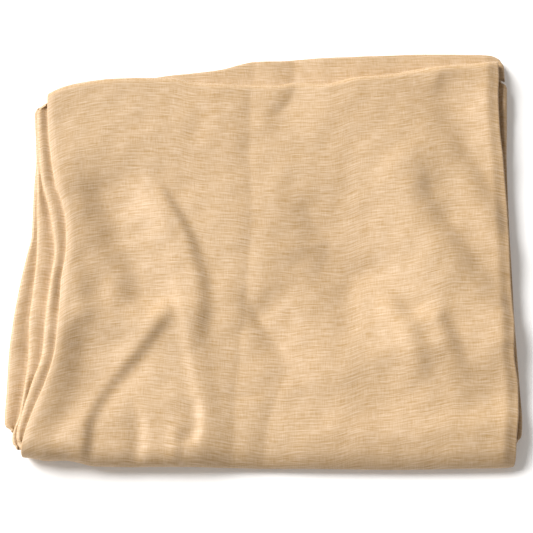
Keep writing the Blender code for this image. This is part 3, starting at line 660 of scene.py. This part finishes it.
def side_fold(strip, side, seed, material):
    """One folded rim of the plies that fan out at a side, which is 1 at the right."""
    thickness = (strip.high - strip.low) * (PACK_HEIGHT - 2 * PLY)
    bulge = thickness * STRIP_BULGE
    rim, panel = RIM[strip.rim], RIM["panel_left" if side < 0 else "panel_right"]
    wall = LEFT_WALL - GAP if side < 0 else RIGHT_POCKET - GAP

    def line(share):
        return lambda y: (1 - share) * (panel(y) - side * wall) + share * (rim(y) - side * bulge)

    columns = [line(share) for share in np.linspace(0, 1, STRIP_COLUMNS)][::side]
    x, y = grid_of(np.arange(strip.start, strip.end, RIM_SPACING / STRIP_DEPTH), columns)
    # The right rim's height is taken no further in than the wall of the plies between
    inner = np.maximum(x, panel(y) - RIGHT_WALL)
    above = RIM[strip.above]
    past = np.clip((x - above(y)) * side / np.maximum((rim(y) - above(y)) * side, 1.0), 0, 1)
    to_end = np.minimum(y - y[0], y[-1] - y)
    corner = STRIP_CORNER - np.sqrt(STRIP_CORNER**2 - np.clip(STRIP_CORNER - to_end, 0, STRIP_CORNER) ** 2)
    x = x - side * corner * past
    height_at = inner if side > 0 else x
    under_above = np.clip(1 + (x - above(y)) * side / STRIP_SINK_RUN, 0, 1)
    sunk = STRIP_SINK * (1 - ease(past / STRIP_SINK_SHARE)) * under_above
    uneven = RIM_UNEVEN * unevenness(x * RIM_CLOSER, y * RIM_CLOSER, seed) - sunk
    upper = points(x, y, layer_height(height_at, y, strip.high) + uneven)
    lower = points(x, y, layer_height(height_at, y, strip.low))
    upper, lower, thick = capped(upper, lower, STRIP_END, STRIP_END)
    grid = ply_section(upper, lower, bulge if side < 0 else 0, bulge if side > 0 else 0, thick)
    return sheet(strip.node + "_cloth", grid, len(columns) // 2, True, material)


def back_fold(material):
    """The band behind the top ply: the back rim of the lower plies, which lie further back."""
    x = np.arange(BAND_LEFT, BAND_RIGHT, RIM_SPACING)
    wall = station(1.0, x) - BACK_STEP + GAP
    low, high = hidden_space(np.minimum(x, RIM["panel_right"](wall)), wall + BACK_STEP)
    top = low + BAND_HIGH * (high - low)
    bulge = BAND_BULGE * (top - low)
    rim = END["band_back"](x) - bulge
    shares = np.linspace(0, 1, BAND_COLUMNS)[:, None]
    y = wall + shares * (rim - wall)
    x = np.broadcast_to(x, y.shape)
    uneven = BAND_UNEVEN * unevenness(x * BAND_CLOSER, y * BAND_CLOSER, BAND_SEED) + relief(x, y, BAND_FOLDS)
    upper = points(x, y, top - BAND_FALL * shares**2 + uneven)
    lower = points(x, y, low)
    # Turned a quarter, so that its long way is the grid's, as on the other rims
    upper, lower = np.swapaxes(upper, 0, 1), np.swapaxes(lower, 0, 1)
    upper, lower, thick = capped(upper, lower, 0.0, BAND_END)
    rows = []
    for face_up, face_down, share in zip(upper, lower, thick):
        middle, half = (face_up[-1] + face_down[-1]) / 2, (face_up[-1] - face_down[-1]) / 2
        angles = np.linspace(0, math.pi, CURL_STEPS + 1)[1:-1, None]
        out = np.array([[0.0, float(bulge.mean()) * share, 0.0]]) * np.sin(angles)
        rows.append(np.concatenate([face_up, middle + half * np.cos(angles) + out, face_down[::-1]]))
    return sheet("back_fold_cloth", np.array(rows), BAND_COLUMNS // 2, True, material, turned=True)


def border(grid):
    """What lies all round the edge of a grid, once."""
    return np.concatenate([grid[0, :-1], grid[:-1, -1], grid[-1, :0:-1], grid[:0:-1, 0]])


def hidden_plies(material):
    """The plies of which only the rims show, as one sheet that is layered all round."""
    x, y = grid_of(np.linspace(0.0, 1.0, HIDDEN_ROWS),
                   panel_lines(LEFT_WALL + GAP, HIDDEN_INSET_RIGHT, HIDDEN_COLUMNS))
    low, high = hidden_space(x, y)
    # Which way each side faces: -1 or 1 along x or y
    sides = np.zeros((*x.shape, 2))
    sides[0, :, 1] = -1
    sides[-1, :, 1] = 1
    sides[:, -1, 0] = 1
    rim_x, rim_y, rim_low, rim_high, out = (border(part) for part in (x, y, low, high, sides))
    loops = []
    for share in np.linspace(0, 1, HIDDEN_PLIES * GROOVE_STEPS + 1):
        lobe = abs(math.sin(math.pi * HIDDEN_PLIES * share)) ** GROOVE_FORM
        arch = math.sqrt(max(0.0, 1 - (2 * share - 1) ** 2))
        groove = GROOVE * (1 - lobe)
        front = HIDDEN_FRONT * arch - groove
        # The band at the back takes the lower half
        back = (HIDDEN_BACK if share > 0.5 else -BACK_STEP) - groove
        right = HIDDEN_RIGHT - groove
        if RIGHT_STRIP.low - POCKET_MARGIN < share < RIGHT_STRIP.high + POCKET_MARGIN:
            right = RIGHT_WALL - RIGHT_POCKET
        reach_y = np.where(out[:, 1] < 0, -front, np.where(out[:, 1] > 0, back, 0.0))
        reach_x = np.where(out[:, 0] > 0, right, 0.0)
        loops.append(points(rim_x + reach_x, rim_y + reach_y, rim_low + share * (rim_high - rim_low)))
    return sheet("hidden_plies_cloth", np.array(loops), HIDDEN_START, True, material)


def node(tree, kind, **inputs):
    """A shader node, with its inputs set or linked. They go by name, or by number as i0, i1 and i2."""
    made = tree.nodes.new(kind)
    for name, value in inputs.items():
        numbered = name[0] == "i" and name[1:].isdigit()
        socket = made.inputs[int(name[1:]) if numbered else name]
        if isinstance(value, bpy.types.NodeSocket):
            tree.links.new(value, socket)
        else:
            socket.default_value = value
    return made


def calc(tree, operation, a, b=0.0, c=0.0):
    """A number worked out from others."""
    made = node(tree, "ShaderNodeMath", i0=a, i1=b, i2=c)
    made.operation = operation
    return made.outputs[0]


def streaks(tree, u, v, kind, shift):
    """Noise from 0 to 1 in streaks of one kind."""
    place = node(tree, "ShaderNodeCombineXYZ", X=calc(tree, "MULTIPLY", u, 1 / MM / kind.length),
                 Y=calc(tree, "MULTIPLY", v, 1 / MM / kind.width), Z=kind.shift + shift)
    made = node(tree, "ShaderNodeTexNoise", Vector=place.outputs[0], Scale=1.0, Detail=kind.detail,
                Roughness=NOISE_ROUGHNESS)
    return made.outputs["Fac"]


def clipped(tree, value, gain, start):
    """A noise made stronger and cut off below, so that only its peaks are left."""
    return calc(tree, "MAXIMUM", calc(tree, "MULTIPLY_ADD", value, gain, start), 0.0)


def cloth_material(name, painted_shade=1.0, shift=0.0):
    """Slub weave: uneven threads across and along, in a colour that drifts a little. Pieces that lie under or
    behind the top ply get the same cloth made darker by a share, which is painted shade.
    """
    material = bpy.data.materials.new(name)
    material.use_nodes = True
    tree = material.node_tree
    shader = tree.nodes["Principled BSDF"]
    cloth = node(tree, "ShaderNodeUVMap")
    cloth.uv_map = "cloth"
    parted = node(tree, "ShaderNodeSeparateXYZ", Vector=cloth.outputs[0])
    u, straight = parted.outputs[0], parted.outputs[1]
    bow = streaks(tree, u, straight, BOW, shift)
    v = calc(tree, "MULTIPLY_ADD", bow, BOW_BEND, straight)
    # Weft: short rows of threads in no even step, and single thick and thin ones, over a fine warp
    even = calc(tree, "MULTIPLY", v, 2 * math.pi / WEFT_ROWS)
    turn = calc(tree, "MULTIPLY_ADD", streaks(tree, u, v, SWAY, shift), SWAY_TURN, even)
    shown = clipped(tree, streaks(tree, u, v, SHOWN, shift), SHOWN_GAIN, SHOWN_FROM)
    rows = calc(tree, "MULTIPLY", calc(tree, "SINE", turn), shown)
    slubs = streaks(tree, u, v, SLUBS, shift)
    thick = clipped(tree, streaks(tree, u, v, THICK, shift), THICK_GAIN, THICK_FROM)
    warp, broad, drift = (streaks(tree, u, v, kind, shift) for kind in (WARP, BROAD, DRIFT))
    mixed = TONE_FROM
    for part, amount in ((broad, BROAD_TONE), (rows, ROWS_TONE), (warp, WARP_TONE), (slubs, SLUBS_TONE),
                         (thick, THICK_TONE)):
        mixed = calc(tree, "MULTIPLY_ADD", part, amount, mixed)
    tone = node(tree, "ShaderNodeValToRGB", Fac=mixed)
    ramp = tone.color_ramp
    ramp.elements[0].position, ramp.elements[1].position = 0.0, 1.0
    # Painted shade: the ramp's colours are scaled down by a share for the pieces that lie under the top ply
    for element, step in zip(ramp.elements, (-THREAD_CONTRAST, THREAD_CONTRAST)):
        element.color = (*(painted_shade * (c + step) for c in CLOTH_COLOUR), 1.0)
    tint = node(tree, "ShaderNodeMix", Factor=calc(tree, "MULTIPLY", drift, DRIFT_SHARE))
    tint.data_type, tint.blend_type = "RGBA", "MULTIPLY"
    colours = [s for s in tint.inputs if s.type == "RGBA"]
    tree.links.new(tone.outputs["Color"], colours[0])
    colours[1].default_value = DRIFT_COLOUR
    tree.links.new([s for s in tint.outputs if s.type == "RGBA"][0], shader.inputs["Base Color"])

    raised = calc(tree, "MULTIPLY_ADD", warp, WARP_RELIEF, thick)
    height = calc(tree, "MULTIPLY_ADD", slubs, SLUBS_RELIEF, raised)
    bump = node(tree, "ShaderNodeBump", Strength=BUMP_STRENGTH, Distance=BUMP_HEIGHT, Height=height)
    tree.links.new(bump.outputs[0], shader.inputs["Normal"])
    shader.inputs["Roughness"].default_value = ROUGHNESS
    shader.inputs["IOR"].default_value = IOR
    shader.inputs["Specular IOR Level"].default_value = SPECULAR_LEVEL
    shader.inputs["Sheen Weight"].default_value = SHEEN
    shader.inputs["Sheen Roughness"].default_value = SHEEN_ROUGHNESS
    shader.inputs["Sheen Tint"].default_value = SHEEN_COLOUR
    return material


def floor_material():
    """Plain white, with a little glow of its own."""
    material = bpy.data.materials.new("white_floor")
    material.use_nodes = True
    shader = material.node_tree.nodes["Principled BSDF"]
    shader.inputs["Base Color"].default_value = (*FLOOR_COLOUR, 1.0)
    shader.inputs["Roughness"].default_value = FLOOR_ROUGHNESS
    shader.inputs["Emission Color"].default_value = (1.0, 1.0, 1.0, 1.0)
    shader.inputs["Emission Strength"].default_value = FLOOR_GLOW
    return material


def make_stage():
    """A plain white floor, one soft key light and even light from all round."""
    mesh = bpy.data.meshes.new("floor")
    corners = [(x * FLOOR_HALF, y * FLOOR_HALF, FLOOR_TOP) for x, y in ((-1, -1), (1, -1), (1, 1), (-1, 1))]
    mesh.from_pydata(corners, [], [(0, 1, 2, 3)])
    mesh.materials.append(floor_material())
    floor = bpy.data.objects.new("floor", mesh)
    bpy.context.scene.collection.objects.link(floor)

    key = bpy.data.lights.new("key", "SUN")
    key.energy = KEY_STRENGTH
    key.angle = math.radians(KEY_SOFTNESS)
    key.color = KEY_COLOUR
    lamp = bpy.data.objects.new("key", key)
    lamp.rotation_euler = Vector(KEY_FROM).to_track_quat("Z", "Y").to_euler()
    bpy.context.scene.collection.objects.link(lamp)

    world = bpy.data.worlds.new("even_light")
    world.use_nodes = True
    background = world.node_tree.nodes["Background"]
    background.inputs["Color"].default_value = FILL_COLOUR
    background.inputs["Strength"].default_value = FILL_STRENGTH
    bpy.context.scene.world = world
    bpy.context.scene.view_settings.view_transform = "Standard"


def make_camera():
    """The camera in front of the pack, looking down on it."""
    angle = math.radians(ELEVATION)
    towards = Vector((0.0, math.cos(angle), -math.sin(angle)))
    data = bpy.data.cameras.new("camera")
    data.lens, data.sensor_width = LENS, SENSOR
    camera = bpy.data.objects.new("camera", data)
    camera.location = (Vector(LOOK_AT) - towards * DISTANCE) * MM
    camera.rotation_euler = towards.to_track_quat("-Z", "Y").to_euler()
    bpy.context.scene.collection.objects.link(camera)
    bpy.context.scene.camera = camera


def main():
    """Dresses each solid in cloth, on a lit table in front of the camera."""
    make_camera()
    make_stage()
    cloth = cloth_material("slub_weave")
    top = outer_ply(cloth)
    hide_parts("outer_ply")
    # The plies under and behind the top ply take the same cloth darkened by a share as painted shade: most
    # for the hidden plies, then the right rim, the band and the left rims
    hidden = hidden_plies(cloth_material("slub_weave_inner", 0.93, 5.0))
    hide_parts("hidden_plies")
    band = back_fold(cloth_material("slub_weave_back", 0.97, 9.0))
    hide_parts("back_fold")
    right = side_fold(RIGHT_STRIP, 1, RIGHT_SEED, cloth_material("slub_weave_right", 0.95, 13.0))
    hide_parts("right_fold")
    for number, (strip, width) in enumerate(zip(LEFT_STRIPS, (0.013, 0.018, 0.024))):
        material = cloth_material(f"slub_weave_left_{number + 1}", 0.98, 17.0 + 4 * number)
        piece = side_fold(strip, -1, LEFT_SEED + number, material)
        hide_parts(strip.node)


main()
